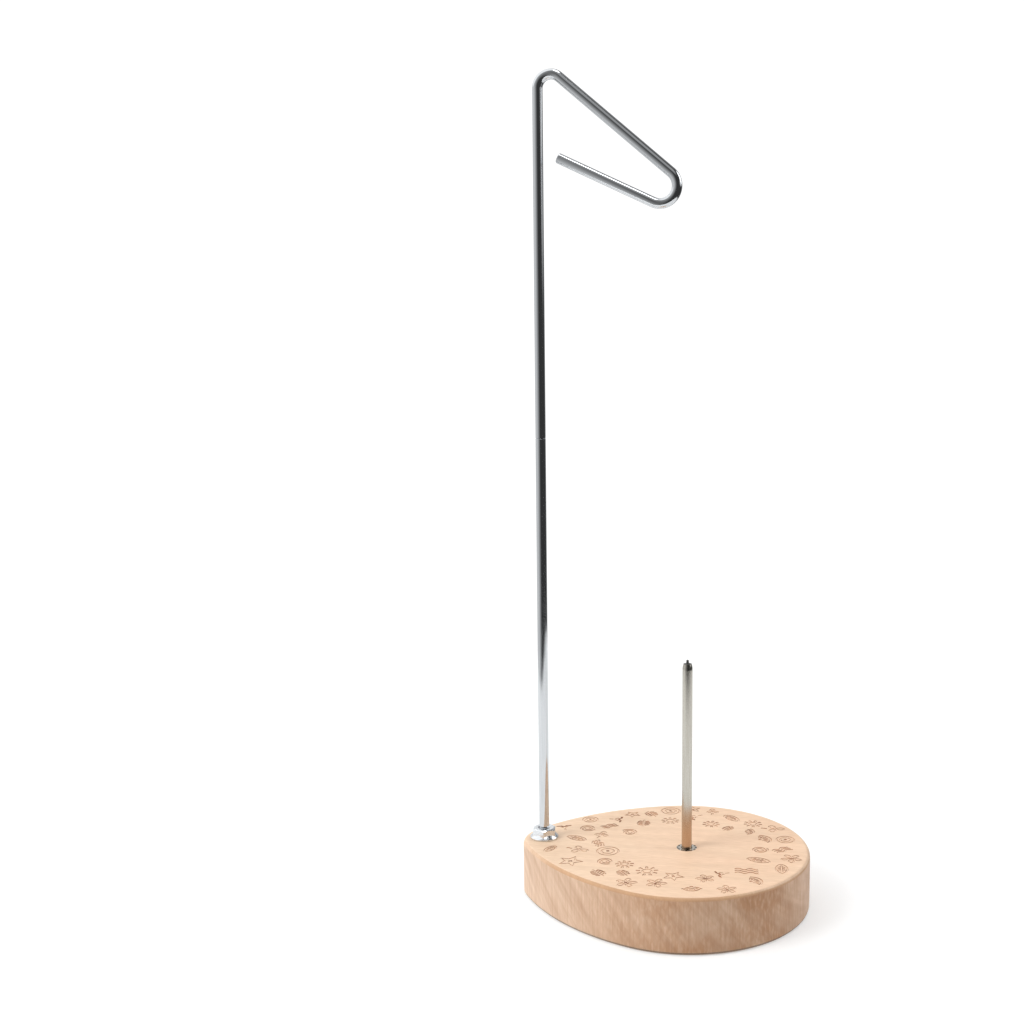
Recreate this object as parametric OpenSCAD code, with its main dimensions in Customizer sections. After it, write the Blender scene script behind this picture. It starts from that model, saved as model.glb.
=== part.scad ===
// Spool thread stand: a drop-shaped wooden base, an upright pin for the spool,
// and a tall two-piece rod bent over at the top into an open wire eye above the pin.
// Millimetres, +Z up. The origin is on the underside, on the axis of the spool pin.
// The narrow end of the base and the guide rod are on the -X side.

/* [Base] */
// Thickness of the wooden block
base_thickness = 20; // [17:0.5:40]
// Radius of the broad end, about the spool pin
broad_radius = 44.5; // [36:0.5:56]
// Radius of the narrow end
narrow_radius = 15; // [11:0.1:20]
// Distance from the spool pin to the centre of the narrow end
narrow_distance = 45.8; // [43:0.1:56]
// Radius of the two long flanks between the ends
flank_radius = 85; // [76:1:140]
// Radius of the rounded top and bottom edges
edge_round = 1.4; // [0.4:0.1:4]
// Number of steps along the curve of a flank
flank_steps = 12; // [6:1:24]

/* [Threaded inserts] */
// Outside diameter of an insert
insert_d = 7.3; // [6:0.1:9]
// Length of an insert
insert_length = 12; // [11:0.5:14]
// Number of notches round an insert
insert_notches = 12; // [6:1:16]
// Diameter of the round cutter that makes a notch
notch_d = 1.1; // [0.6:0.1:1.3]
// Depth of the drilled hole left below an insert
drill_allowance = 1; // [0.5:0.5:2]

/* [Threaded feet] */
// Outside diameter of the threaded feet of the pin and the rod
thread_d = 3.9; // [3:0.1:4.2]
// Length of thread screwed into an insert
thread_depth = 10; // [5:0.5:10.5]

/* [Spool pin] */
// Diameter of the spool pin
pin_d = 3.7; // [3.2:0.1:5]
// Height of the pin's flat end above the wood
pin_height = 68.2; // [40:0.2:120]
// Length of the curved taper at the end of the pin
pin_taper = 2.3; // [0.5:0.1:4]
// Diameter of the flat end of the pin
pin_end_d = 3; // [2:0.1:3.1]
// Diameter of the nib on the end of the pin
nib_d = 0.95; // [0.5:0.05:1.5]
// Height of the nib
nib_height = 1.4; // [0.5:0.1:3]
// Diameter of the undercut between the pin's thread and its shaft
undercut_d = 3; // [2.4:0.1:3.1]
// Length of the undercut, just under the top of the wood
undercut_length = 1.2; // [0.6:0.1:2]

/* [Guide rod] */
// Diameter of the guide rod
rod_d = 3.7; // [3.2:0.1:5]
// Distance from the rod's axis to the end of the narrow end
rod_inset = 7.4; // [6.5:0.1:10]
// Height of the joint between the rod's halves above the wood
seam_height = 148; // [80:1:220]
// Straight length of the upper half, from the joint to its first bend
upper_length = 120.8; // [60:0.1:180]
// Chamfer round the two ends that meet at the joint
seam_chamfer = 0.15; // [0.05:0.05:0.4]
// Diameter of the threaded stud that joins the halves
stud_d = 2; // [1.6:0.1:2.4]
// Length of the stud
stud_length = 8; // [5:0.5:12]
// Depth of the tapped socket left below the stud
socket_allowance = 1; // [0.5:0.5:3]

/* [Wire eye] */
// Radius of the bend at the top of the rod, to the wire's centre
top_bend_radius = 4.7; // [3:0.1:8]
// Slope of the long arm below level, in degrees
arm_droop = 40; // [25:0.1:50]
// Radius of the bend at the far end of the eye, to the wire's centre
eye_bend_radius = 5.9; // [3.5:0.1:8]
// Distance that the far bend's centre stops short of the pin's axis
eye_setback = 10.3; // [4:0.1:16]
// Rise of the returning arm above level, in degrees
return_rise = 25; // [10:0.1:32]
// Clear gap between the rod and the free end of the wire
mouth_gap = 4.5; // [2:0.1:9]
// Amount by which the wire's radius draws in where it is bent
bend_draw = 0.02; // [0.01:0.01:0.1]
// Length by which a straight run enters the bend beside it
bend_lap = 0.2; // [0.1:0.05:0.3]

/* [Lock nut] */
// Width of the nut across its flats
nut_flats = 8; // [7.4:0.1:8.8]
// Height of the nut
nut_height = 3.8; // [3.2:0.1:6]
// Diameter of the nut's flange
flange_d = 10.4; // [10.2:0.1:12]
// Thickness of the flange at its rim
flange_rim = 0.7; // [0.4:0.1:1]
// Height at which the sloping flange meets the hexagon
flange_height = 1.7; // [1.2:0.1:2.4]
// Height of the chamfer round the hexagon's top
nut_chamfer = 0.6; // [0.2:0.1:0.7]
// Depth of the countersink at the top of the nut's bore
nut_countersink = 0.4; // [0.2:0.1:0.6]
// Turn of the nut about the rod, in degrees
nut_angle = -19; // [-30:1:30]

/* [Fits] */
// Radial clearance of a screw thread
thread_fit = 0.05; // [0.02:0.01:0.1]
// Radial clearance of an insert in the wood
insert_fit = 0.02; // [0.01:0.01:0.1]

/* [Hidden] */
$fn = 96;

wood = [0.93, 0.83, 0.70];
steel = [0.78, 0.79, 0.80];
zinc = [0.70, 0.72, 0.72];

rod_distance = narrow_distance + narrow_radius - rod_inset;
seam_z = base_thickness + seam_height;

// The centre of a flank's arc lies on the far side, in line with the centres of both ends.
flank_to_broad = flank_radius - broad_radius;
flank_to_narrow = flank_radius - narrow_radius;
flank_x = (pow(flank_to_broad, 2) - pow(flank_to_narrow, 2) + pow(narrow_distance, 2)) / (2 * narrow_distance);
flank_y = sqrt(pow(flank_to_broad, 2) - pow(flank_x, 2));

// The long arm ends where the far bend's centre stands at its setback from the pin.
wire_r = rod_d / 2;
eye_x = rod_distance - eye_setback;
arm_start = top_bend_radius * (1 + sin(arm_droop));
arm_length = (eye_x - arm_start + eye_bend_radius * sin(arm_droop)) / cos(arm_droop);
free_end_x = wire_r + mouth_gap + wire_r * sin(return_rise);
return_length = (eye_x - eye_bend_radius * sin(return_rise) - free_end_x) / cos(return_rise);
top_bend_angle = 90 + arm_droop;
eye_bend_angle = 180 - arm_droop + return_rise;

// Radius of the largest disc that fits between the flanks at a distance x from the pin.
function disc_radius(x) = flank_radius - norm([x - flank_x, flank_y]);

// A flat round block with its top and bottom edges rounded.
module rounded_disc(radius) {
  rotate_extrude() {
    square([radius - edge_round, base_thickness]);
    translate([0, edge_round]) square([radius, base_thickness - 2 * edge_round]);
    for (z = [edge_round, base_thickness - edge_round])
      translate([radius - edge_round, z]) circle(edge_round, $fn = 24);
  }
}

// Drop outline of four tangent arcs: the discs that fit between its flanks, drawn together.
module drop_block() {
  hull()
    for (i = [0 : flank_steps]) {
      x = narrow_distance * i / flank_steps;
      translate([x, 0, 0]) rounded_disc(disc_radius(x));
    }
}

module insert_hole() {
  hole_depth = insert_length + drill_allowance;
  translate([0, 0, base_thickness - hole_depth])
    cylinder(d = insert_d + 2 * insert_fit, h = hole_depth + 1);
}

// Notched sleeve, flush with the top of the wood.
module threaded_insert() {
  translate([0, 0, base_thickness - insert_length])
    difference() {
      cylinder(d = insert_d, h = insert_length);
      translate([0, 0, -1]) cylinder(d = thread_d + 2 * thread_fit, h = insert_length + 2);
      for (i = [0 : insert_notches - 1])
        rotate([0, 0, i * 360 / insert_notches])
          translate([insert_d / 2, 0, -1]) cylinder(d = notch_d, h = insert_length + 2, $fn = 24);
    }
}

module at_rod() translate([-rod_distance, 0, 0]) children();

module base_block() {
  color(wood)
    difference() {
      rotate([0, 0, 180]) drop_block();
      insert_hole();
      at_rod() insert_hole();
    }
}

module pin_insert() color(zinc) threaded_insert();

module rod_insert() color(zinc) at_rod() threaded_insert();

// Upright pin whose end is drawn in by an arc that starts tangent to its side.
module spool_pin() {
  pin_r = pin_d / 2;
  inset = pin_r - pin_end_d / 2;
  taper_radius = (pow(pin_taper, 2) + pow(inset, 2)) / (2 * inset);
  color(steel) {
    translate([0, 0, base_thickness]) {
      translate([0, 0, -thread_depth]) cylinder(d = thread_d, h = thread_depth - undercut_length);
      translate([0, 0, -undercut_length]) cylinder(d = undercut_d, h = undercut_length);
      cylinder(d = pin_d, h = pin_height - pin_taper);
      translate([0, 0, pin_height - pin_taper])
        rotate_extrude()
          intersection() {
            square([pin_r, pin_taper]);
            translate([pin_r - taper_radius, 0]) circle(taper_radius, $fn = 180);
          }
      translate([0, 0, pin_height]) cylinder(d = nib_d, h = nib_height, $fn = 24);
    }
  }
}

// Hexagon with a chamfered top on a round sloping flange.
module lock_nut() {
  corner_r = nut_flats / 2 / cos(30);
  bore_r = thread_d / 2 + thread_fit;
  color(zinc)
    at_rod() translate([0, 0, base_thickness]) rotate([0, 0, nut_angle])
      difference() {
        union() {
          intersection() {
            cylinder(r = corner_r, h = nut_height, $fn = 6);
            rotate_extrude()
              polygon([[0, 0], [corner_r, 0], [corner_r, nut_height - nut_chamfer],
                       [corner_r - nut_chamfer / tan(30), nut_height], [0, nut_height]]);
          }
          rotate_extrude()
            polygon([[0, 0], [flange_d / 2, 0], [flange_d / 2, flange_rim],
                     [nut_flats / 2, flange_height], [0, flange_height]]);
        }
        translate([0, 0, -1]) cylinder(r = bore_r, h = nut_height + 2);
        translate([0, 0, nut_height - nut_countersink])
          cylinder(r1 = bore_r, r2 = bore_r + nut_countersink, h = nut_countersink);
      }
}

module guide_rod_lower() {
  thread_top = nut_height - nut_countersink;
  color(steel)
    at_rod() translate([0, 0, base_thickness])
      difference() {
        union() {
          translate([0, 0, -thread_depth]) cylinder(d = thread_d, h = thread_depth + thread_top);
          cylinder(r = wire_r, h = seam_height - seam_chamfer);
          translate([0, 0, seam_height - seam_chamfer])
            cylinder(r1 = wire_r, r2 = wire_r - seam_chamfer, h = seam_chamfer);
        }
        translate([0, 0, seam_height - stud_length - socket_allowance])
          cylinder(d = stud_d + 2 * thread_fit, h = stud_length + socket_allowance + 1);
      }
}

// A bend of the wire that starts upwards and turns towards +X.
module bend(radius, angle) {
  translate([radius, 0, 0]) rotate([90, 0, 0]) rotate([0, 0, 180 - angle])
    rotate_extrude(angle = angle) translate([radius, 0]) circle(wire_r - bend_draw);
}

// Places what follows at the end of such a bend.
module after_bend(radius, angle) {
  translate([radius, 0, 0]) rotate([0, angle, 0]) translate([-radius, 0, 0]) children();
}

// A straight run of the wire, lapped into the bend before it, after it or both.
module run(length, lap_before, lap_after) {
  translate([0, 0, -lap_before]) cylinder(r = wire_r, h = lap_before + length + lap_after);
}

module guide_rod_upper() {
  color(steel)
    at_rod() translate([0, 0, seam_z]) {
      translate([0, 0, -stud_length]) cylinder(d = stud_d, h = stud_length);
      cylinder(r1 = wire_r - seam_chamfer, r2 = wire_r, h = seam_chamfer);
      translate([0, 0, seam_chamfer]) run(upper_length - seam_chamfer, 0, bend_lap);
      translate([0, 0, upper_length]) {
        bend(top_bend_radius, top_bend_angle);
        after_bend(top_bend_radius, top_bend_angle) {
          run(arm_length, bend_lap, bend_lap);
          translate([0, 0, arm_length]) {
            bend(eye_bend_radius, eye_bend_angle);
            after_bend(eye_bend_radius, eye_bend_angle) run(return_length, bend_lap, 0);
          }
        }
      }
    }
}

base_block();
pin_insert();
rod_insert();
spool_pin();
lock_nut();
guide_rod_lower();
guide_rod_upper();
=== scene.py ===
# %% [markdown]
# # A spool thread stand
# The stand is a drop-shaped block of pale beech with an upright steel pin for the spool. A tall
# steel rod in two halves stands at the narrow end, bent over at the top into an open eye that
# leads the thread up off the spool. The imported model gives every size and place, in metres, and
# this lesson dresses it: smooth meshes where the model is cut into flats, and real finishes.

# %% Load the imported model
import math
import random

import bmesh
import bpy
from mathutils import Matrix, Vector


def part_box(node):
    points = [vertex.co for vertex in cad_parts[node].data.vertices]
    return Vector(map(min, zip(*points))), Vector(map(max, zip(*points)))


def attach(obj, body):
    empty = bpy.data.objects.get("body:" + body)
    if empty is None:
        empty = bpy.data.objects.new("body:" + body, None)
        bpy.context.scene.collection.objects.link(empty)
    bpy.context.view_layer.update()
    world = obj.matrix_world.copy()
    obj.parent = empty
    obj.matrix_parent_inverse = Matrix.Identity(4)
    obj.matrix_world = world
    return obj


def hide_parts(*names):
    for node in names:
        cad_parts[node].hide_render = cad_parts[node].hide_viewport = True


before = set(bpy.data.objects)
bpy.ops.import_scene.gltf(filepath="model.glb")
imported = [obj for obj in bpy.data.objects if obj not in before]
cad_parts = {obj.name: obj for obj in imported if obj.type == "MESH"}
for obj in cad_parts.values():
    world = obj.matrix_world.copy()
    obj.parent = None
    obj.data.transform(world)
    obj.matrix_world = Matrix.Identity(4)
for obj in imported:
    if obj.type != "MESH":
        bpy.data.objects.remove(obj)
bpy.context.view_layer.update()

MM = 0.001

# %% [markdown]
# ## The camera
# The photograph was taken from a little above, turned about eleven degrees to the right of the
# stand's long side. The place, tilt and lens below were found by fitting the outline of the block,
# the rod and the eye. The picture is cropped off its centre, so the lens is shifted sideways.

# %% Camera
tilt_down, swing = 7.22, 11.02
camera_data = bpy.data.cameras.new("photo_camera")
camera_data.sensor_width = 36
camera_data.lens = 45.7
camera_data.shift_x = -0.1245
camera = bpy.data.objects.new("photo_camera", camera_data)
camera.location = (0.0698, -0.4481, 0.2002)
camera.rotation_euler = (math.radians(90 - tilt_down), 0, math.radians(swing))
bpy.context.collection.objects.link(camera)
bpy.context.scene.camera = camera
print("camera height in mm:", round(camera.location.z / MM, 1))

# %% [markdown]
# ## Helpers for materials
# Each finish is a small tree of nodes that feeds one Principled shader. A helper that makes a node,
# sets its fields and links its inputs keeps each recipe short enough to read in one go. Patterns
# are laid on Object coordinates, in metres, so a scale of 1000 gives marks about a millimetre wide.

# %% Node helpers
def add_node(tree, kind, settings=None, **inputs):
    """One shader node, with its fields set and its inputs given as values or linked outputs."""
    made = tree.nodes.new(kind)
    for field, value in (settings or {}).items():
        setattr(made, field, value)
    for name, value in inputs.items():
        socket = made.inputs[name.replace("_", " ")]
        if isinstance(value, bpy.types.NodeSocket):
            tree.links.new(value, socket)
        else:
            socket.default_value = value
    return made


def new_finish(name, color, metallic, roughness):
    """A material with its plain values on the shader's own sockets."""
    finish = bpy.data.materials.new(name)
    finish.use_nodes = True
    shader = finish.node_tree.nodes["Principled BSDF"]
    shader.inputs["Base Color"].default_value = (*color, 1)
    shader.inputs["Metallic"].default_value = metallic
    shader.inputs["Roughness"].default_value = roughness
    return finish, finish.node_tree, shader


def grain(tree, scale, detail=3.0, turned=(0, 0, 0), laid_on=None):
    """Noise turned, then stretched by a scale along each axis, as a number from about 0.3 to 0.7."""
    if laid_on:
        place = add_node(tree, "ShaderNodeAttribute", {"attribute_name": laid_on}).outputs["Vector"]
    else:
        place = add_node(tree, "ShaderNodeTexCoord").outputs["Object"]
    stretch = add_node(tree, "ShaderNodeMapping", {"vector_type": "TEXTURE"}, Vector=place,
                       Scale=[1 / along for along in scale], Rotation=turned)
    noise = add_node(tree, "ShaderNodeTexNoise", Vector=stretch.outputs["Vector"], Scale=1.0, Detail=detail)
    return noise.outputs["Fac"]


def spread(tree, value, low, high, to_low=0.0, to_high=1.0):
    """Spreads a narrow band of values over another band, and clamps the rest."""
    ranged = add_node(tree, "ShaderNodeMapRange", Value=value, From_Min=low, From_Max=high,
                      To_Min=to_low, To_Max=to_high)
    return ranged.outputs["Result"]


def tint(tree, amount, under, over):
    """Mixes two colours, each a plain colour or the result of an earlier mix."""
    mix = tree.nodes.new("ShaderNodeMix")
    mix.data_type = "RGBA"
    tree.links.new(amount, mix.inputs[0])
    for socket, value in ((mix.inputs[6], under), (mix.inputs[7], over)):
        if isinstance(value, bpy.types.NodeSocket):
            tree.links.new(value, socket)
        else:
            socket.default_value = (*value, 1)
    return mix.outputs[2]


def relief(tree, shader, height, depth):
    """Raises a pattern by a small depth in metres."""
    bump = add_node(tree, "ShaderNodeBump", Strength=1.0, Distance=depth, Height=height)
    tree.links.new(bump.outputs["Normal"], shader.inputs["Normal"])

# %% [markdown]
# ## Beech, on its faces and its edge
# Beech is pale cream with many short, fine flecks along the grain, and this board turns a little rosy
# towards the broad end. On the edge the same turn runs from pale at the narrow end to a deep reddish brown
# towards the broad end, paler again at its far end; this is partly the wood's colour and partly painted
# light: a painted sheen at the narrow end and painted shade where the edge turns away from the light. On the
# sawn edge the cutter leaves fine upright marks, dark and light, over leaning bands. The rounded rim is
# toasted by the router, but not round the narrow end, and at the broad end only on its lower half: there its
# upper half is left in the bare colour as painted light, where the light reaches the rounding. The lower rim
# is painted much darker still, as painted shade where it turns down to the table. One recipe with four sets
# of colours and stretches makes them all: noise pulled long along the board for the faces, and upright for
# the edge.

# %% Beech recipe
# Places along the board, and up the rim, where a change of colour starts and ends, in metres.
rosy_and_shade_span, paler_span = (-0.052, 0.012), (0.037, 0.044)
toast_starts, painted_lit_rim_span, painted_lit_rim_height = (-0.055, -0.042), (0.018, 0.032), (0.01925, 0.0196)
# The parts of a noise that show, how strongly, and the roughness and depth of the marks.
cloud_scale, cloud_band = (38, 60, 60), (0.45, 0.70)
cloud_amount, paler_amount = 0.6, 0.45
light_band, mark_band = (0.42, 0.66), (0.38, 0.68)
satin, mark_depth = (0.46, 0.62), -3e-5


def beech(name, pale, rosy_and_shade, dark, bands, flecks, saw, bare=None, light=None):
    """Pale wood, rosy at the broad end (on the edge partly painted shade), with bands, flecks and saw marks
    as (scale, amount, turn).

    The rim's bare colour shows where it isn't toasted, and as painted light on the rim's upper half at the
    broad end; the edge has one more set of marks, light ones.
    """
    finish, tree, shader = new_finish(name, pale, 0.0, 0.5)
    place = add_node(tree, "ShaderNodeTexCoord")
    sides = add_node(tree, "ShaderNodeSeparateXYZ", Vector=place.outputs["Object"]).outputs
    along = sides["X"]
    # Painted light: on the edge this rosy turn is partly painted shade towards the broad end and painted
    # sheen at the paler narrow end; on the faces it is the wood's own tint.
    color = tint(tree, spread(tree, along, *rosy_and_shade_span), pale, rosy_and_shade)
    color = tint(tree, spread(tree, along, *paler_span, 0.0, paler_amount), color, pale)
    clouds = spread(tree, grain(tree, cloud_scale, 2.0), *cloud_band, 0.0, cloud_amount)
    color = tint(tree, clouds, color, pale)
    if bare:
        color = tint(tree, spread(tree, along, *toast_starts), bare, color)
        # Painted light: at the broad end the upper half of the rim goes back to the bare colour, where the
        # light reaches the rounding.
        toast_under_painted_lit_top = tint(tree, spread(tree, sides["Z"], *painted_lit_rim_height), color, bare)
        color = tint(tree, spread(tree, along, *painted_lit_rim_span), color, toast_under_painted_lit_top)
    if light:
        scale, amount, turned = light
        lines = spread(tree, grain(tree, scale, turned=turned), *light_band, 0.0, amount)
        color = tint(tree, lines, color, pale)
    for scale, amount, turned in (bands, saw, flecks):
        marks = spread(tree, grain(tree, scale, turned=turned), *mark_band, 0.0, amount)
        color = tint(tree, marks, color, dark)
    tree.links.new(color, shader.inputs["Base Color"])
    tree.links.new(spread(tree, marks, 0.0, flecks[1], *satin), shader.inputs["Roughness"])
    relief(tree, shader, marks, mark_depth)
    return finish

# %% [markdown]
# ## Four finishes of the board
# The recipe is used four times: for the flat faces, the sawn edge, the toasted upper rim and the lower rim,
# which is painted dark as shade and here called the foot. The two rims share their marks and differ in
# colour. Colours are in linear light, the way a shader takes them, so their numbers are lower than in a
# paint program.

# %% Beech
straight, leaning = (0, 0, 0), (0, math.radians(52), 0)
beech_face = beech("beech_face", pale=(0.80, 0.60, 0.43), rosy_and_shade=(0.81, 0.57, 0.40), dark=(0.58, 0.38, 0.24),
                   bands=((30, 260, 260), 0.30, straight),
                   flecks=((260, 2100, 2100), 0.34, straight),
                   saw=((60, 900, 900), 0.12, straight))
# Painted shade: the edge's dark rosy colour towards the broad end is partly painted shade.
beech_edge = beech("beech_edge", pale=(0.77, 0.57, 0.42), rosy_and_shade=(0.49, 0.25, 0.12), dark=(0.36, 0.18, 0.085),
                   bands=((45, 70, 210), 0.30, leaning),
                   flecks=((1700, 1700, 70), 0.24, straight),
                   saw=((28, 45, 460), 0.32, leaning),
                   light=((1300, 1300, 380), 0.38, straight))
rim_marks = {
    "bands": ((45, 70, 210), 0.30, leaning),
    "flecks": ((1700, 1700, 400), 0.20, straight),
    "saw": ((60, 500, 800), 0.10, leaning),
}
beech_rim = beech("beech_rim", pale=(0.62, 0.38, 0.22), rosy_and_shade=(0.56, 0.33, 0.18), dark=(0.38, 0.20, 0.10),
                  bare=(0.78, 0.565, 0.40), **rim_marks)
# Painted shade: the lower rim is painted dark for the shade where it turns down to the table.
beech_painted_shade_foot = beech("beech_painted_shade_foot", pale=(0.35, 0.28, 0.22), rosy_and_shade=(0.24, 0.15, 0.085), dark=(0.16, 0.10, 0.055),
                   **rim_marks)
print("wood finishes:", [finish.name for finish in (beech_face, beech_edge, beech_rim, beech_painted_shade_foot)])

# %% [markdown]
# ## The burnt line of the engraving
# A laser leaves shallow grooves whose floor is scorched to a warm brown, deeper in some places than
# in others. Two browns mixed by a coarse noise give that uneven scorch.

# %% Scorched groove
light_scorch, deep_scorch, scorch_depth = (0.47, 0.23, 0.12), (0.27, 0.115, 0.058), 3e-5
spot_scale, spot_band = (420, 420, 420), (0.36, 0.64)
scorch, tree, shader = new_finish("scorched_groove", (0.40, 0.20, 0.11), 0.0, 0.75)
scorch_spots = spread(tree, grain(tree, spot_scale, 2.0), *spot_band)
scorch_color = tint(tree, scorch_spots, light_scorch, deep_scorch)
tree.links.new(scorch_color, shader.inputs["Base Color"])
relief(tree, shader, scorch_spots, scorch_depth)
print("groove finish:", scorch.name)

# %% [markdown]
# ## Bright steel and zinc
# The rod and the pin are drawn and polished, so they mirror the room with only faint lengthwise
# draw marks. The nut is zinc plated: cloudier, a little blue, with a fine crystal grain. The inserts'
# plating is worn and browner, and their notches are dark inside. All are metals, so the colour is in
# the reflection and the noise works on the roughness: one recipe with a few sets of values does it.
# On the bent wire the marks follow the bends, so they are laid on an attribute of the mesh.

# %% Metals
tone_band, rough_band = (0.35, 0.65), (0.3, 0.7)


def plated(name, color, shade, grain_scale, rough, depth, laid_on=None):
    """A bright metal whose roughness and tone vary a little over a noise."""
    finish, tree, shader = new_finish(name, color, 1.0, rough[0])
    marks = grain(tree, grain_scale, laid_on=laid_on)
    tree.links.new(tint(tree, spread(tree, marks, *tone_band), shade, color), shader.inputs["Base Color"])
    tree.links.new(spread(tree, marks, *rough_band, *rough), shader.inputs["Roughness"])
    relief(tree, shader, marks, depth)
    return finish


steel, steel_shade = (0.62, 0.64, 0.66), (0.56, 0.58, 0.60)
crystals = (2400, 2400, 2400)
bright_steel = plated("polished_steel", steel, steel_shade, (2600, 2600, 90), (0.06, 0.14), 4e-7)
bent_steel = plated("bent_steel", steel, steel_shade, (4600, 4600, 1), (0.06, 0.14), 4e-7, "drawn")
pin_steel = plated("pin_steel", (0.55, 0.53, 0.48), (0.47, 0.45, 0.40),
                   (2600, 2600, 120), (0.12, 0.24), 4e-6)
dark_end_steel = plated("dark_end_steel", (0.13, 0.13, 0.12), (0.06, 0.06, 0.055),
                   (3000, 3000, 3000), (0.35, 0.55), 2e-5)
zinc_plate = plated("zinc_coat", (0.78, 0.80, 0.82), (0.64, 0.67, 0.70), crystals, (0.14, 0.30), 1e-5)
worn_zinc = plated("worn_zinc", (0.56, 0.53, 0.48), (0.42, 0.39, 0.34), crystals, (0.20, 0.36), 1e-5)
notch_shade = plated("notch_shade", (0.20, 0.16, 0.11), (0.10, 0.08, 0.05), crystals, (0.35, 0.55), 1e-5)
metals = [bright_steel, bent_steel, pin_steel, dark_end_steel, zinc_plate, worn_zinc, notch_shade]
print("metal finishes:", [metal.name for metal in metals])

# %% [markdown]
# ## The warm foot of the pin
# Just above the wood the pin looks almost orange, because the wood lights it from all round. The
# mirrored wood alone comes out too grey, so a tint that fades out with the height is laid under the
# pin's own colour. It reads Object coordinates, so it stays where it is from every side.

# %% Pin's foot
foot_tint = (0.55, 0.41, 0.30)
tint_full, tint_gone = 0.026, 0.037
tree = pin_steel.node_tree
pin_color = tree.nodes["Principled BSDF"].inputs["Base Color"]
own_color = pin_color.links[0].from_socket
place = add_node(tree, "ShaderNodeTexCoord")
height = add_node(tree, "ShaderNodeSeparateXYZ", Vector=place.outputs["Object"]).outputs["Z"]
tree.links.new(tint(tree, spread(tree, height, tint_full, tint_gone), foot_tint, own_color), pin_color)
print("warm foot up to", tint_gone, "m")

# %% [markdown]
# ## From a bmesh to a piece
# A finished bmesh is closed up, its normals are turned outwards, and it becomes an object at the
# origin with its place in its mesh. Edges sharper than an angle stay crisp and the rest are shaded
# smooth, which is what a turned or drawn surface looks like.

# %% Piece helpers
WELD = 0.000001
CRISP = 35


def new_piece(name, shape, finishes, crisp=CRISP):
    """An object from a bmesh, smooth except at edges sharper than the crisp angle, in degrees."""
    bmesh.ops.remove_doubles(shape, verts=shape.verts, dist=WELD)
    bmesh.ops.recalc_face_normals(shape, faces=shape.faces)
    mesh = bpy.data.meshes.new(name)
    shape.to_mesh(mesh)
    shape.free()
    mesh.shade_smooth()
    mesh.set_sharp_from_angle(angle=math.radians(crisp))
    for finish in finishes:
        mesh.materials.append(finish)
    piece = bpy.data.objects.new(name, mesh)
    bpy.context.collection.objects.link(piece)
    print(name, "has", len(mesh.polygons), "faces")
    return piece


def turn(profile, axis_x, steps=64):
    """A solid of revolution about an upright axis, from (radius, height) pairs in millimetres."""
    shape = bmesh.new()
    points = [shape.verts.new((axis_x + r * MM, 0, z * MM)) for r, z in profile]
    lines = [shape.edges.new(pair) for pair in zip(points, points[1:])]
    bmesh.ops.spin(shape, geom=points + lines, cent=(axis_x, 0, 0), axis=(0, 0, 1),
                   angle=2 * math.pi, steps=steps, use_merge=True)
    bmesh.ops.remove_doubles(shape, verts=shape.verts, dist=WELD)
    return shape

# %% [markdown]
# ## What an operator gives back
# A bmesh operator returns the vertices, edges and faces that it made in one mixed list, and two
# helpers pick out the kind that the next step needs. An object with a modifier shows another mesh
# than its own, and a curve has none, so a third helper copies the mesh as it shows. The fourth uses
# it to join or cut pieces with a boolean and to keep the result.

# %% Operator helpers
def verts_of(made):
    """The vertices in what an operator made."""
    return [item for item in made if isinstance(item, bmesh.types.BMVert)]


def edges_of(made):
    """The edges in what an operator made."""
    return [item for item in made if isinstance(item, bmesh.types.BMEdge)]


def shown_mesh(piece):
    """A new mesh of an object as it shows, with its modifiers or its curve's section."""
    shown = piece.evaluated_get(bpy.context.evaluated_depsgraph_get())
    return bpy.data.meshes.new_from_object(shown)


def combine(piece, tool, operation):
    """Joins, cuts or keeps what two pieces share, then removes the tool."""
    step = piece.modifiers.new("combine", "BOOLEAN")
    step.operation = operation
    step.solver = "MANIFOLD"
    step.object = tool
    result = shown_mesh(piece)
    piece.modifiers.clear()
    piece.data = result
    bpy.data.objects.remove(tool)

# %% [markdown]
# ## The drop outline of the block
# The block is cut to a drop of four arcs that meet smoothly: a broad end about the pin, a narrow end
# under the rod and two long flanks. Each arc is one spin of a single point about the arc's centre,
# and the four spins run on from each other. The centre of a flank lies on the far side of the block.

# %% Outline
block_low, block_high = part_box("base_block")
top = block_high.z
broad_radius = block_high.x
narrow_radius = 15 * MM
flank_radius = 85 * MM
arc_steps, broad_steps = 40, 96
narrow_x = block_low.x + narrow_radius
to_broad, to_narrow = flank_radius - broad_radius, flank_radius - narrow_radius
flank_x = (to_narrow ** 2 - to_broad ** 2 - narrow_x ** 2) / (2 * -narrow_x)
flank = Vector((flank_x, math.sqrt(to_broad ** 2 - flank_x ** 2), 0))
broad, narrow = Vector((0, 0, 0)), Vector((narrow_x, 0, 0))
from_broad, from_narrow = (broad - flank).normalized(), (narrow - flank).normalized()
flank_angle = from_broad.angle(from_narrow)
narrow_angle = 2 * from_narrow.angle(Vector((-1, 0, 0)))
broad_angle = 2 * from_broad.angle(Vector((1, 0, 0)))
mirrored = Vector((flank.x, -flank.y, 0))
arcs = [(flank, -flank_angle, arc_steps), (narrow, -narrow_angle, arc_steps),
        (mirrored, -flank_angle, arc_steps), (broad, -broad_angle, broad_steps)]

block = bmesh.new()
end = [block.verts.new(broad + broad_radius * from_broad)]
for centre, angle, steps in arcs:
    spun = bmesh.ops.spin(block, geom=end, cent=centre, axis=(0, 0, 1), angle=angle, steps=steps)
    end = verts_of(spun["geom_last"])
bmesh.ops.remove_doubles(block, verts=block.verts, dist=2 * WELD)
outline = [vert.co.copy() for vert in block.verts]
print("outline of", len(outline), "points")

# %% [markdown]
# ## The block
# The outline is filled, drawn up to the board's thickness and rounded over at both rims. The wide
# flat top is then sliced into small cells, because a boolean cut leaves cleaner faces in many small
# cells than in one face with a hundred holes.

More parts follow.
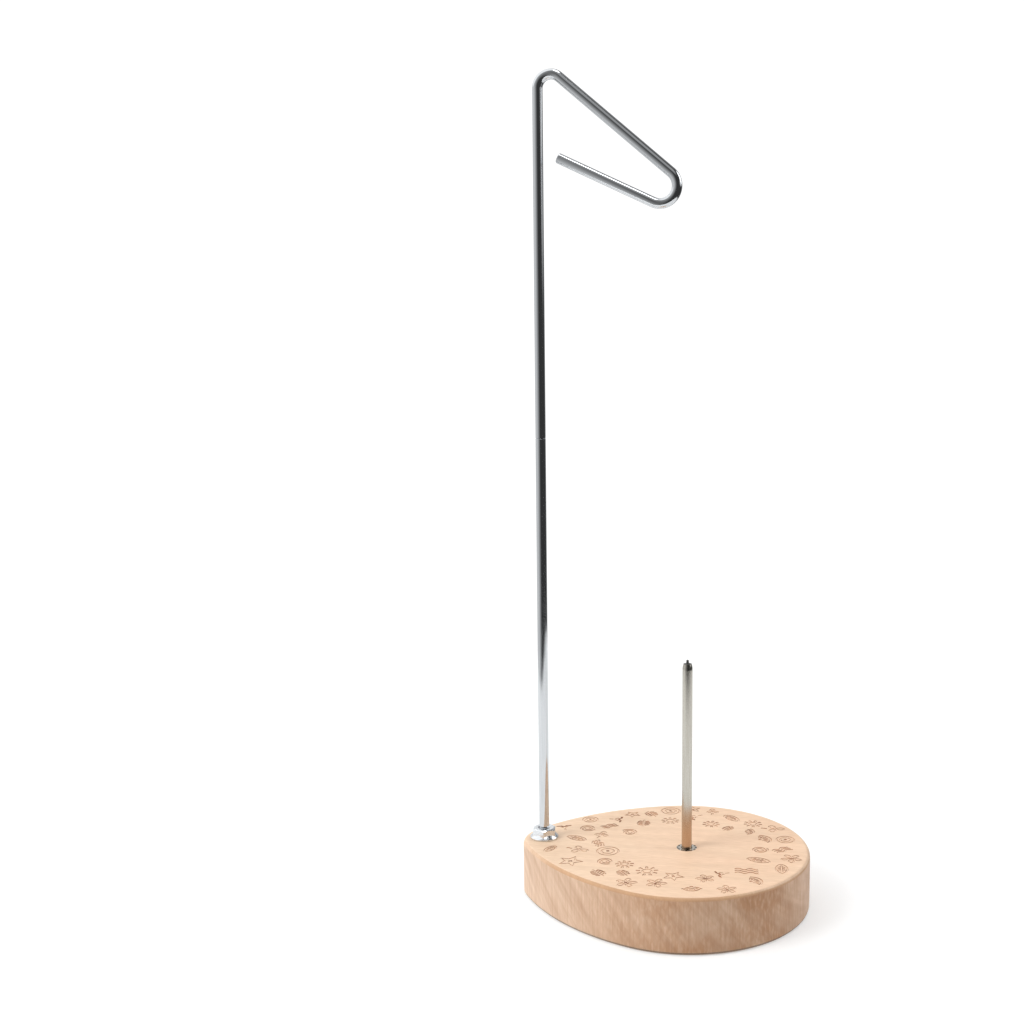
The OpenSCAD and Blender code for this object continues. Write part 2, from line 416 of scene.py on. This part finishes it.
# %% Block
edge_round = 1.4 * MM
cell, cell_shift, cell_lines = 7 * MM, 0.37, 9
level = 0.9999
bottom = bmesh.ops.contextual_create(block, geom=block.edges[:])["faces"]
raised = bmesh.ops.extrude_face_region(block, geom=bottom)["geom"]
bmesh.ops.translate(block, verts=verts_of(raised), vec=(0, 0, top))
rims = [edge for edge in block.edges if abs(edge.verts[0].co.z - edge.verts[1].co.z) < MM]
bmesh.ops.bevel(block, geom=rims, offset=edge_round, offset_type="OFFSET", segments=8, profile=0.5,
                affect="EDGES", material=-1)
for across in (Vector((1, 0, 0)), Vector((0, 1, 0))):
    for step in range(-cell_lines, cell_lines + 1):
        flat_top = [face for face in block.faces
                    if face.normal.z > level and face.calc_center_median().z > top / 2]
        parts = {part for face in flat_top for part in (*face.verts, *face.edges)}
        bmesh.ops.bisect_plane(block, geom=flat_top + list(parts), plane_no=across,
                               plane_co=across * (step + cell_shift) * cell)
wooden_base = new_piece("wooden_base", block, [beech_face, beech_edge, scorch, beech_rim, beech_painted_shade_foot])

# %% [markdown]
# ## Motifs for the engraving
# The top is engraved with a loose scatter of small line drawings. Each is a list of lines on a field
# from -1 to 1, with whether a line is closed and how heavy it is. Lines could be drawn by hand in the
# curve editor, but a few helpers for strokes, ovals, arcs and dots give cleaner ones in less space.

# %% Motif lines
def stroke(points, weight=1.0):
    """An open line."""
    return points, False, weight


def loop(points, weight=1.0):
    """A closed line."""
    return points, True, weight


def spoke(angle, inner, outer, weight):
    """A straight stroke away from the middle."""
    c, s = math.cos(angle), math.sin(angle)
    return stroke([(inner * c, inner * s), (outer * c, outer * s)], weight)


def dot(x, y, weight=2.6):
    """A short heavy stroke that cuts a round pit."""
    return stroke([(x - 0.12, y), (x + 0.12, y)], weight)


def arc_points(cx, cy, rx, ry, first=0.0, last=2 * math.pi, points=18):
    """Points along an oval arc."""
    return [(cx + rx * math.cos(a), cy + ry * math.sin(a))
            for a in [first + (last - first) * i / points for i in range(points)]]


def oval(cx, cy, rx, ry, turned=0.0, points=16):
    """A closed oval, turned about its own centre."""
    c, s = math.cos(turned), math.sin(turned)
    return loop([(cx + c * x - s * y, cy + s * x + c * y)
                 for x, y in arc_points(0, 0, rx, ry, points=points)])


def around(count, start=0.0):
    """Equal angles round a full turn."""
    return [start + 2 * math.pi * i / count for i in range(count)]

# %% [markdown]
# ## Eleven stock motifs
# These are a maker's stock forms, such as leaf, flower, star, spiral and shell. Each is a function
# that returns its lines, so it is worked out only where it is placed. Lines of one motif may come
# close to each other, which is why they are cut one after the other further down.

# %% Motifs
def leaf():
    rim = [(math.cos(a), 0.5 * math.sin(a) * abs(math.sin(a)) ** 0.3) for a in around(24)]
    veins = [stroke([(x, 0.13 * side), (x + 0.16, 0.3 * side)], 1.2)
             for x in (-0.46, -0.12, 0.2) for side in (-1, 1)]
    return [loop(rim), stroke([(-0.74, 0), (0.7, 0)], 1.3)] + veins


def flower():
    petals = [oval(0.64 * math.cos(a), 0.64 * math.sin(a), 0.34, 0.22, a, 14) for a in around(5)]
    return petals + [dot(0, 0)]


def star():
    rim = [(r * math.cos(a), r * math.sin(a)) for r, a in zip([1.0, 0.46] * 5, around(10))]
    return [loop(rim, 1.1), dot(0, 0, 2.0)]


def spiral():
    turns = [(0.22 + 0.74 * i / 36, 0.36 * i) for i in range(37)]
    return [stroke([(r * math.cos(a), r * math.sin(a)) for r, a in turns], 1.2)]


def rings():
    return [oval(0, 0, 0.9, 0.9, 0, 22), oval(0, 0, 0.52, 0.52), dot(0, 0, 2.2)]


def waves():
    return [stroke([(-0.95 + 0.1 * i, 0.38 * k + 0.14 * math.sin(0.62 * i)) for i in range(20)], 1.3)
            for k in (-1, 0, 1)]


def sun():
    return [oval(0, 0, 0.4, 0.4)] + [spoke(a, 0.62, 1.0, 1.4) for a in around(9)]


def fern():
    fronds = [stroke([(x, 0.16 * side), (x + 0.3 * reach, (0.2 + 0.5 * reach) * side)], 1.7)
              for x, reach in ((-0.62, 0.7), (-0.3, 0.9), (0.02, 0.8), (0.34, 0.6)) for side in (-1, 1)]
    return [stroke([(-0.95, 0), (0.9, 0)])] + fronds


def berries():
    stems = [stroke([(-0.9, 0), (-0.4, 0)]),
             stroke([(-0.2, 0.14), (0.2, 0.42)]),
             stroke([(-0.2, -0.14), (0.2, -0.42)])]
    return stems + [dot(0.5, 0.56, 3.2), dot(0.5, -0.56, 3.2), dot(0.3, 0)]


def shell():
    ribs = [spoke(-1.1 + 0.44 * i, 0.3, 0.8, 1.3) for i in range(6)]
    return ribs + [stroke(arc_points(0, 0, 1.0, 1.0, -1.3, 1.3, 16), 1.2), dot(0, 0, 1.8)]


def trefoil():
    lobes = [oval(0.2 + 0.46 * math.cos(a), 0.46 * math.sin(a), 0.32, 0.24, a, 14) for a in around(3)]
    return lobes + [stroke([(-0.5, 0), (-1.0, 0.12)], 1.3)]


motifs = [leaf, flower, star, spiral, fern, rings, waves, berries, sun, shell, trefoil]
print("motifs:", [motif.__name__ for motif in motifs])

# %% [markdown]
# ## Placing the motifs
# The lines stay off a bare round field about the pin, off the nut, and a little inside the rim. Darts
# thrown with a fixed seed are kept where they are far enough from those and from each other. That
# gives an even, natural scatter which comes out the same on every run.

# %% Places
bare_radius, nut_clear = 22.0 * MM, 6.6 * MM
rim_gap, motif_gap = 1.8 * MM, 0.8 * MM
throws, smallest, largest = 9000, 2.9, 4.4
rod_low, rod_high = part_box("guide_rod_lower")
rod_x = (rod_low.x + rod_high.x) / 2
darts = random.Random(11)


def rim_distance(point):
    """Distance from a point to the outline, below zero outside it."""
    nearest = 1.0
    for a, b in zip(outline, outline[1:] + outline[:1]):
        side = (b - a).normalized()
        nearest = min(nearest, side.y * (point.x - a.x) - side.x * (point.y - a.y))
    return nearest


places = []
for _ in range(throws):
    spot = Vector((darts.uniform(block_low.x, block_high.x), darts.uniform(block_low.y, block_high.y), 0))
    size = darts.uniform(smallest, largest) * MM
    apart = all((spot - other).length > size + radius + motif_gap for other, radius in places)
    off_rod = (spot - Vector((rod_x, 0, 0))).length > nut_clear + size
    if apart and off_rod and spot.length > bare_radius + size and rim_distance(spot) > size + rim_gap:
        places.append((spot, size))
print("motif places:", len(places))

# %% [markdown]
# ## Laying the lines in layers
# Each place takes the motif four further on in the list, so that all eleven come up equally often,
# and turns it by a random angle. The first line of every motif goes into one layer, the second into
# the next, so that no two lines of a layer cross.

# %% Layers
stride = 4
layers = {}
for index, (spot, size) in enumerate(places):
    heading = darts.uniform(0, 2 * math.pi)
    c, s = math.cos(heading) * size, math.sin(heading) * size
    motif = motifs[(index * stride) % len(motifs)]
    for layer, (line, closed, weight) in enumerate(motif()):
        laid = [(spot.x + c * x - s * y, spot.y + s * x + c * y, 0, 1) for x, y in line]
        layers.setdefault(layer, []).append((laid, closed, weight))
print("lines in each layer:", [len(lines) for lines in layers.values()])

# %% [markdown]
# ## Cutting the grooves
# The lines of a layer go into one curve with a round section, and its mesh is a set of thin closed
# tubes. Flattened, laid along the wood's surface and taken away from the block, they leave shallow
# round grooves. A bump map would be lighter, but seen from low down it would look flat.

# %% Grooves
line_radius, flatness, proud = 0.37 * MM, 0.46, 0.02 * MM


def groove_tubes(lines):
    """One piece of flattened tubes along a layer's lines."""
    curve = bpy.data.curves.new("engraving_lines", "CURVE")
    curve.dimensions = "3D"
    curve.bevel_depth = line_radius
    curve.bevel_resolution = 1
    curve.use_fill_caps = True
    for laid, closed, weight in lines:
        spline = curve.splines.new("POLY")
        spline.points.add(len(laid) - 1)
        spline.use_cyclic_u = closed
        for point, place in zip(spline.points, laid):
            point.co = place
            point.radius = weight
    drawn = bpy.data.objects.new("engraving_lines", curve)
    bpy.context.collection.objects.link(drawn)
    tubes = bmesh.new()
    tubes.from_mesh(shown_mesh(drawn))
    bpy.data.objects.remove(drawn)
    bmesh.ops.scale(tubes, verts=tubes.verts, vec=(1, 1, flatness))
    bmesh.ops.translate(tubes, verts=tubes.verts, vec=(0, 0, top + proud))
    return new_piece("engraving_cutter", tubes, [])


for lines in layers.values():
    combine(wooden_base, groove_tubes(lines), "DIFFERENCE")

# %% [markdown]
# ## Boring the holes
# The two inserts sit in blind holes from the top. Each hole is cut by a turned plug that stands a
# millimetre past the surface, because a boolean is least sure of itself where two faces coincide.

# %% Holes
hole_radius, hole_depth, past = 3.67, 13, 1
hole_z, plug_z = top / MM - hole_depth, top / MM + past
plug_profile = [(0, hole_z), (hole_radius, hole_z), (hole_radius, plug_z), (0, plug_z)]
for axis_x in (0.0, rod_x):
    plug = new_piece("hole_plug", turn(plug_profile, axis_x), [])
    combine(wooden_base, plug, "DIFFERENCE")

# %% [markdown]
# ## Finishing the block
# The cut block has one mesh with five finishes. Faces are told apart by where they are: the floor of
# a groove lies just under the top and away from the rim, the edge of the board stands upright, the two
# rims lean, and the rest is the flat top or the underside. The borders of flat faces are marked crisp
# for clean shading.

# %% Block finishes
FACE, EDGE, GROOVE, RIM, FOOT_PAINTED_SHADE = range(5)
groove_depth, groove_inside, groove_off_pin = 0.7 * MM, 1.5 * MM, 5 * MM
lean_from, lean_to, halfway = 0.2, 0.93, 0.5
wood = bmesh.new()
wood.from_mesh(wooden_base.data)
bmesh.ops.triangulate(wood, faces=[face for face in wood.faces if len(face.verts) > 4])
wood.normal_update()
print("open edges of the block:", sum(not edge.is_manifold for edge in wood.edges))
counts = [0] * len(wooden_base.data.materials)
for face in wood.faces:
    centre = face.calc_center_median()
    upward = abs(face.normal.z)
    under_top = upward <= level and centre.z > top - groove_depth
    if under_top and rim_distance(centre) > groove_inside and centre.length > groove_off_pin:
        face.material_index = GROOVE
    elif lean_from < upward < lean_to:
        # The lower rim takes the foot finish, which is painted shade.
        face.material_index = RIM if face.normal.z > 0 else FOOT_PAINTED_SHADE
    else:
        face.material_index = FACE if upward > halfway else EDGE
    face.smooth = True
    counts[face.material_index] += 1
for edge in wood.edges:
    kinds = {abs(face.normal.z) > level for face in edge.link_faces}
    edge.smooth = len(kinds) == 1 and edge.calc_face_angle(0.0) < math.radians(CRISP)
wood.to_mesh(wooden_base.data)
wood.free()
print("faces of top, edge, groove, rim and foot:", counts)
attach(wooden_base, "base")
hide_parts("base_block")

# %% [markdown]
# ## The spool pin
# The pin is turned on a lathe: a straight shaft, an end drawn in by a gentle arc, and a small nib left where
# the bar was parted off. The flat end and the nib are given a dark metal colour. Its threaded foot is hidden
# in the insert. A spin of its profile is the same thing as turning it, and needs no other operator.

# %% Spool pin
pin_low, pin_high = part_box("spool_pin")
pin_radius, pin_end_radius, taper, taper_steps = 1.85, 1.5, 2.3, 8
nib, nib_radius = 1.4, 0.475
foot_radius, foot_chamfer = 1.95, 0.3
undercut_radius, undercut = 1.5, 1.2
pin_foot_z, wood_z, nib_z = pin_low.z / MM, top / MM, pin_high.z / MM
flat_z = nib_z - nib
inset = pin_radius - pin_end_radius
taper_arc = (taper ** 2 + inset ** 2) / (2 * inset)
sweep = math.asin(taper / taper_arc)
foot = [(0, pin_foot_z), (foot_radius - foot_chamfer, pin_foot_z), (foot_radius, pin_foot_z + foot_chamfer),
        (foot_radius, wood_z - undercut), (undercut_radius, wood_z - undercut),
        (undercut_radius, wood_z), (pin_radius, wood_z)]
arc = [(pin_radius - taper_arc * (1 - math.cos(a)), flat_z - taper + taper_arc * math.sin(a))
       for a in [sweep * i / taper_steps for i in range(taper_steps + 1)]]
# Small steps of the cut end, in millimetres from the flat and from the end of the nib.
flat_end = [(pin_end_radius - 0.35, flat_z + 0.12), (nib_radius + 0.1, flat_z + 0.2)]
nib_end = [(nib_radius, flat_z + 0.32), (nib_radius - 0.04, nib_z - 0.15),
           (nib_radius - 0.16, nib_z), (0, nib_z)]
pin_shape = turn(foot + arc + flat_end + nib_end, 0.0)
spool_pin = new_piece("turned_spool_pin", pin_shape, [pin_steel, dark_end_steel], crisp=40)
for face in spool_pin.data.polygons:
    # The flat end and the nib are painted a dark metal colour.
    face.material_index = 1 if face.center.z > flat_z * MM else 0
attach(spool_pin, "pin")
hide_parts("spool_pin")

# %% [markdown]
# ## The lower rod
# The lower half of the rod screws into the block through the nut and takes the upper half on a stud.
# Only its plain shaft shows, with a small chamfer at the joint that makes the fine ring line half way
# up. It is turned in the same way as the pin, socket and all.

# %% Lower rod
rod_radius, chamfer = 1.85, 0.15
socket_radius, socket_depth = 1.05, 9
thread_short = 0.4
thread_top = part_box("lock_nut")[1].z / MM - thread_short
rod_foot_z, seam_z = rod_low.z / MM, rod_high.z / MM
profile = [(0, rod_foot_z), (foot_radius - foot_chamfer, rod_foot_z),
           (foot_radius, rod_foot_z + foot_chamfer), (foot_radius, thread_top), (rod_radius, thread_top),
           (rod_radius, seam_z - chamfer), (rod_radius - chamfer, seam_z),
           (socket_radius, seam_z), (socket_radius, seam_z - socket_depth), (0, seam_z - socket_depth)]
lower_rod = new_piece("lower_rod", turn(profile, rod_x), [bright_steel], crisp=40)
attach(lower_rod, "rod")
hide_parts("guide_rod_lower")

# %% [markdown]
# ## The wire eye
# The upper half is one length of wire, bent twice. It goes straight up from its stud, over the first
# former, down the long arm, round the second former and back up towards the rod, where it stops short
# and leaves a mouth for the thread. The straight lengths follow from the two bends and their places.

# %% Wire sizes
eye_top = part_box("guide_rod_upper")[1].z
seam = rod_high.z
stud_radius, stud_length = 1.0 * MM, 8 * MM
wire_radius, wire_chamfer = rod_radius * MM, chamfer * MM
top_bend, eye_bend = 4.7 * MM, 5.9 * MM
droop, rise = math.radians(40), math.radians(25)
eye_x, mouth, end_round = 43.1 * MM, 4.5 * MM, 0.3 * MM
arm_start = top_bend * (1 + math.sin(droop))
arm_length = (eye_x - arm_start + eye_bend * math.sin(droop)) / math.cos(droop)
free_x = wire_radius + mouth + wire_radius * math.sin(rise)
return_length = (eye_x - eye_bend * math.sin(rise) - free_x) / math.cos(rise)
first_bend = eye_top - wire_radius - top_bend
print("arm and return in mm:", round(arm_length / MM, 1), round(return_length / MM, 1))

# %% [markdown]
# ## Two tools of a wire bender
# A bender draws wire straight or turns it round a former, so there is one tool for each. Both take the
# end of the wire, which is a ring of edges, the ring's middle and its heading, and give back the new
# end, so each step runs on smoothly from the last. A curve with a round section would be quicker, but
# a spin about the former makes true arcs.

# %% Wire tools
wire = bmesh.new()
drawn_place = wire.verts.layers.float_vector.new("drawn")


def draw(end, length, radius=None):
    """Draws the wire straight along its heading, and sizes its new ring if a radius is given."""
    ring, tip, heading = end
    step = Vector((math.sin(heading), 0, math.cos(heading))) * length
    drawn = bmesh.ops.extrude_edge_only(wire, edges=ring)["geom"]
    bmesh.ops.translate(wire, verts=verts_of(drawn), vec=step)
    tip = tip + step
    if radius:
        for vert in verts_of(drawn):
            vert.co = tip + (vert.co - tip).normalized() * radius
    return edges_of(drawn), tip, heading


def bend(end, radius, angle, steps):
    """Spins the wire's end about a former that lies to the right of its heading."""
    ring, tip, heading = end
    former = tip + Vector((math.cos(heading), 0, -math.sin(heading))) * radius
    verts = list(dict.fromkeys(vert for edge in ring for vert in edge.verts))
    spun = bmesh.ops.spin(wire, geom=verts + ring, cent=former, axis=(0, 1, 0), angle=angle, steps=steps)
    tip = former + Matrix.Rotation(angle, 3, "Y") @ (tip - former)
    return edges_of(spun["geom_last"]), tip, heading + angle

# %% [markdown]
# ## Bending the eye
# The first ring is the section of the stud. Each of its points notes its place in the section, and
# every copy of it keeps that note, so the draw marks laid on it run along the wire and round its
# bends. The ends are filled at last, and the free one is rounded so that it can't catch the thread.

# %% Wire eye
start = bmesh.ops.create_circle(wire, segments=40, radius=stud_radius)["verts"]
for vert in start:
    vert[drawn_place] = vert.co
stud_foot = Vector((rod_x, 0, seam - stud_length))
bmesh.ops.translate(wire, verts=start, vec=stud_foot)
end = (wire.edges[:], stud_foot, 0.0)
end = draw(end, stud_length)
end = draw(end, 0, (rod_radius - chamfer) * MM)
end = draw(end, wire_chamfer, wire_radius)
end = draw(end, first_bend - seam - wire_chamfer)
end = bend(end, top_bend, math.pi / 2 + droop, steps=28)
end = draw(end, arm_length)
end = bend(end, eye_bend, math.pi - droop + rise, steps=36)
free_ring, free_tip, _ = draw(end, return_length)
bmesh.ops.holes_fill(wire, edges=wire.edges, sides=0)
bmesh.ops.bevel(wire, geom=free_ring, offset=end_round, offset_type="OFFSET", segments=3, profile=0.5,
                affect="EDGES", material=-1)
wire_eye = new_piece("wire_eye", wire, [bent_steel], crisp=40)
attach(wire_eye, "guide")
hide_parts("guide_rod_upper")
print("wire's free end in mm:", [round(value / MM, 1) for value in free_tip])
notes = wire_eye.data.attributes["drawn"].data
print("places in the section:", len({tuple(note.vector) for note in notes}))

# %% [markdown]
# ## The flange nut
# The nut that locks the rod has a hexagon on a round sloping flange. Its top corners are turned off by
# a shallow cone, which leaves the curved facets that a real nut has. A six-sided bar is therefore cut
# down to a turned shape, just as a nut maker does it.

# %% Nut's hexagon
nut_low, nut_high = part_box("lock_nut")
seat_z, nut_z = nut_low.z / MM, nut_high.z / MM
flats, nut_turn, nut_chamfer = 8.0, -19, 0.6
spare, spare_drop = 0.2, 0.115
corner_radius = flats / 2 / math.cos(math.pi / 6)
chamfer_radius = corner_radius - nut_chamfer / math.tan(math.pi / 6)
turned_by = Matrix.Rotation(math.radians(nut_turn - 90), 3, "Z")
hexagon = bmesh.new()
bmesh.ops.create_circle(hexagon, cap_ends=True, segments=6, radius=corner_radius * MM)
bmesh.ops.rotate(hexagon, verts=hexagon.verts, cent=(0, 0, 0), matrix=turned_by)
bmesh.ops.translate(hexagon, verts=hexagon.verts, vec=(rod_x, 0, nut_low.z))
grown = bmesh.ops.extrude_face_region(hexagon, geom=hexagon.faces[:])["geom"]
bmesh.ops.translate(hexagon, verts=verts_of(grown), vec=(0, 0, nut_high.z - nut_low.z))
flange_nut = new_piece("flange_nut", hexagon, [zinc_plate])
cone = [(0, seat_z - past), (corner_radius + spare, seat_z - past),
        (corner_radius + spare, nut_z - nut_chamfer - spare_drop), (chamfer_radius, nut_z), (0, nut_z)]
combine(flange_nut, new_piece("nut_cone", turn(cone, rod_x), [zinc_plate]), "INTERSECT")

# %% [markdown]
# ## The nut's flange and bore
# The flange is turned as a shallow dish with softened edges and joined to the hexagon. Then the bore
# with its countersink is cut through both. A bevel modifier softens the edges that are left, so that
# they catch a thin line of light.

# %% Flange and bore
flange_radius = (nut_high.x - nut_low.x) / 2 / MM
flange_rim, flange_soft, flange_drop, collar = 0.7, 0.12, 0.15, 1.7
bore, countersink = 2.0, 0.4
nut_crisp = math.radians(24)
dish = [(0, seat_z), (flange_radius - flange_soft, seat_z), (flange_radius, seat_z + flange_soft),
        (flange_radius, seat_z + flange_rim - flange_drop),
        (flange_radius - flange_soft, seat_z + flange_rim),
        (flats / 2, seat_z + collar), (0, seat_z + collar)]
combine(flange_nut, new_piece("nut_flange", turn(dish, rod_x, steps=72), [zinc_plate]), "UNION")
hole = [(0, seat_z - past), (bore, seat_z - past), (bore, nut_z - countersink), (bore + countersink, nut_z),
        (bore + countersink, nut_z + past), (0, nut_z + past)]
combine(flange_nut, new_piece("nut_bore", turn(hole, rod_x), [zinc_plate]), "DIFFERENCE")
flange_nut.data.shade_smooth()
flange_nut.data.set_sharp_from_angle(angle=nut_crisp)
soften = flange_nut.modifiers.new("soft_edges", "BEVEL")
soften.width = 0.1 * MM
soften.segments = 2
soften.limit_method = "ANGLE"
soften.angle_limit = nut_crisp
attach(flange_nut, "nut")
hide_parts("lock_nut")

# %% [markdown]
# ## The inserts
# Each screw goes into a plated insert that is pressed into the wood. Its rim is notched so that it
# can't turn, and the notches are dark inside. The ring is turned, then twelve round rods set about
# its rim are cut away from it, and every face that isn't flat takes the dark finish.

# %% Inserts
insert_radius, mouth_radius, mouth_depth = 3.65, 2.08, 0.08
notches, notch_radius, notch_place = 12, 0.42 * MM, 3.3
notch_start, flat_enough = math.radians(7), 0.9
inserts = [("pin_insert", "notched_pin_insert", 0.0), ("rod_insert", "notched_rod_insert", rod_x)]
for node, name, axis_x in inserts:
    low_z, high_z = (corner.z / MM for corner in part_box(node))
    ring_profile = [(bore, low_z), (insert_radius, low_z), (insert_radius, high_z), (mouth_radius, high_z),
                    (bore, high_z - mouth_depth), (bore, low_z)]
    insert = new_piece(name, turn(ring_profile, axis_x, steps=96), [worn_zinc, notch_shade])
    middle, length = (low_z + high_z) / 2 * MM, (high_z - low_z + 2 * past) * MM
    rods = bmesh.new()
    for a in around(notches, notch_start):
        x, y = axis_x + notch_place * MM * math.cos(a), notch_place * MM * math.sin(a)
        bmesh.ops.create_cone(rods, cap_ends=True, segments=16, radius1=notch_radius, radius2=notch_radius,
                              depth=length, matrix=Matrix.Translation((x, y, middle)))
    combine(insert, new_piece("notch_rods", rods, []), "DIFFERENCE")
    insert.data.shade_smooth()
    insert.data.set_sharp_from_angle(angle=math.radians(CRISP))
    for face in insert.data.polygons:
        face.material_index = 0 if abs(face.normal.z) > flat_enough else 1
    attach(insert, "base")
    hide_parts(node)

# %% [markdown]
# ## The white sheet
# The stand is on an oval white sheet, which is stage and not part of the object. A sheet that is only
# lit comes out grey under soft light, so this one also glows a little, and just a faint shadow is left
# beside the block.

# %% Sheet
sheet_size, sheet_back = (0.38, 0.36), 0.05
sheet = bmesh.new()
bmesh.ops.create_circle(sheet, cap_ends=True, segments=96, radius=1.0)
bmesh.ops.scale(sheet, verts=sheet.verts, vec=(*sheet_size, 1))
bmesh.ops.translate(sheet, verts=sheet.verts, vec=(0, sheet_back, 0))
sheet_mesh = bpy.data.meshes.new("white_sheet")
sheet.to_mesh(sheet_mesh)
sheet.free()
floor = bpy.data.objects.new("white_sheet", sheet_mesh)
bpy.context.collection.objects.link(floor)
sheet_paint, tree, shader = new_finish("white_sheet_paint", (0.55, 0.55, 0.55), 0.0, 0.9)
shader.inputs["Emission Color"].default_value = (1, 1, 1, 1)
shader.inputs["Emission Strength"].default_value = 0.44
sheet_mesh.materials.append(sheet_paint)
print("sheet half width and depth in m:", sheet_size)

# %% [markdown]
# ## The room that the steel mirrors
# What polished wire shows is the room. Lamps would show as hard discs in it, so the room is given as
# soft patches of light on a dark world. The dark left between the patches draws the streaks down the
# rod. The camera itself sees plain white all round.

# %% Patches of light
tent = bpy.data.worlds.new("studio_light")
tent.use_nodes = True
tree = tent.node_tree
ray = add_node(tree, "ShaderNodeTexCoord").outputs["Generated"]
print("world of the room:", tent.name)


def patch(azimuth, height, inner, outer, strength, flat=1):
    """A soft patch: full inside one angle from its direction, gone outside the other, and flattened."""
    a, h = math.radians(azimuth), math.radians(height)
    towards = Vector((math.sin(a) * math.cos(h), -math.cos(a) * math.cos(h), flat * math.sin(h)))
    full, gone = math.cos(math.radians(inner)), math.cos(math.radians(outer))
    wide = add_node(tree, "ShaderNodeMapping", Vector=ray, Scale=(1, 1, flat))
    unit = add_node(tree, "ShaderNodeVectorMath", {"operation": "NORMALIZE"}, Vector=wide.outputs["Vector"])
    along = tree.nodes.new("ShaderNodeVectorMath")
    along.operation = "DOT_PRODUCT"
    tree.links.new(unit.outputs["Vector"], along.inputs[0])
    along.inputs[1].default_value = towards.normalized()
    fade = add_node(tree, "ShaderNodeMapRange", {"interpolation_type": "SMOOTHSTEP"},
                    Value=along.outputs["Value"], From_Min=gone, From_Max=full, To_Max=strength)
    return fade.outputs["Result"]

# %% [markdown]
# ## Lighting the room
# Each patch has a direction, as azimuth and height in degrees, the angles where it is full and where
# it is gone, and a strength. One of them is also flattened into a strip. Where two patches meet the
# brighter one wins, which keeps their edges clear, and a little light is left in the darkest corner.

# %% Room
room = {
    "wide screen on the left": (-115, 0, 20, 140, 0.85),
    "upper screen on the left": (-100, 50, 34, 46, 1.35),
    "small lamp overhead": (60, 82, 7, 14, 7.0),
    "dim ceiling in front": (20, 56, 12, 34, 0.45),
    "flat strip on the right": (100, 11.8, 8, 32, 0.85, 3),
    "window on the right": (112, 28, 14, 24, 2.6),
    "wall behind": (205, 15, 12, 32, 1.0),
}
darkest, white_seen = 0.05, 1.1
light = None
for values in room.values():
    brighter = add_node(tree, "ShaderNodeMath", {"operation": "MAXIMUM"})
    tree.links.new(patch(*values), brighter.inputs[0])
    if light:
        tree.links.new(light, brighter.inputs[1])
    else:
        brighter.inputs[1].default_value = darkest
    light = brighter.outputs["Value"]
from_camera = add_node(tree, "ShaderNodeLightPath").outputs["Is Camera Ray"]
seen = add_node(tree, "ShaderNodeMix", Factor=from_camera, A=light, B=white_seen)
tree.links.new(seen.outputs["Result"], tree.nodes["Background"].inputs["Strength"])
tree.nodes["Background"].inputs["Color"].default_value = (1, 1, 1, 1)
bpy.context.scene.world = tent
bpy.context.scene.view_settings.view_transform = "Standard"
print("patches of light:", list(room))

# %% [markdown]
# ## The key light
# One large soft lamp from the front left models the wood: the narrow end catches it and the broad end
# turns away. It is kept out of reflections, because the steel already has its screens to mirror.

# %% Key light
aim = Vector((0, 0, 0.02))
lamp_data = bpy.data.lights.new("soft_key", "AREA")
lamp_data.shape = "DISK"
lamp_data.size = 0.6
lamp_data.energy = 7.0
lamp = bpy.data.objects.new("soft_key", lamp_data)
lamp.location = (-0.75, -0.55, 0.85)
lamp.visible_glossy = False
lamp.rotation_euler = (aim - lamp.location).to_track_quat("-Z", "Y").to_euler()
bpy.context.collection.objects.link(lamp)
print("key light at", [round(value, 2) for value in lamp.location])
